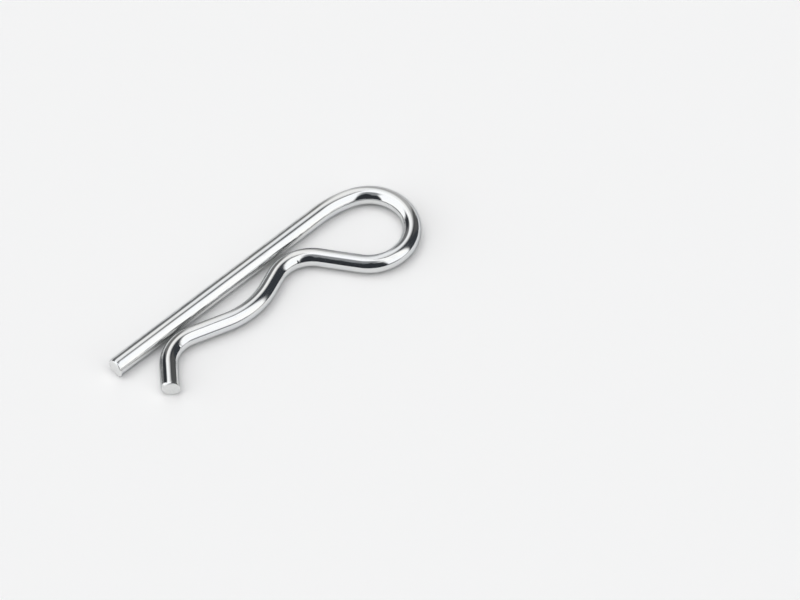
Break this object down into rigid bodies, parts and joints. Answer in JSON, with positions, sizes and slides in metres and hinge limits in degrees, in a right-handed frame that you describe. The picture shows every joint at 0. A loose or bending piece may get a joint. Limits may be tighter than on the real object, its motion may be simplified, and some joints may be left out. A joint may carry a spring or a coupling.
{
  "type": "spring cotter pin",
  "caption": "Round-wire spring cotter pin, or R-clip: a straight leg goes through a shaft's cross hole and a waved leg snaps round the shaft, with a loop to pull it by.",
  "frame": {"origin": "where the axis of the shaft that the pin secures crosses the straight leg's axis, level with the middle of the seat", "axes": "+X along the straight leg and out of its tip, +Y from the straight leg to the waved leg, +Z along the shaft's axis, square to the plane that the wire is bent in"},
  "size_m": [0.0931, 0.0292, 0.005],
  "materials": {
    "plated_steel": "bright zinc-plated spring steel wire, smoothly drawn, with satin sheared ends"
  },
  "bodies": {
    "root": {"cotter_pin": "plated_steel"}
  },
  "joints": []
}
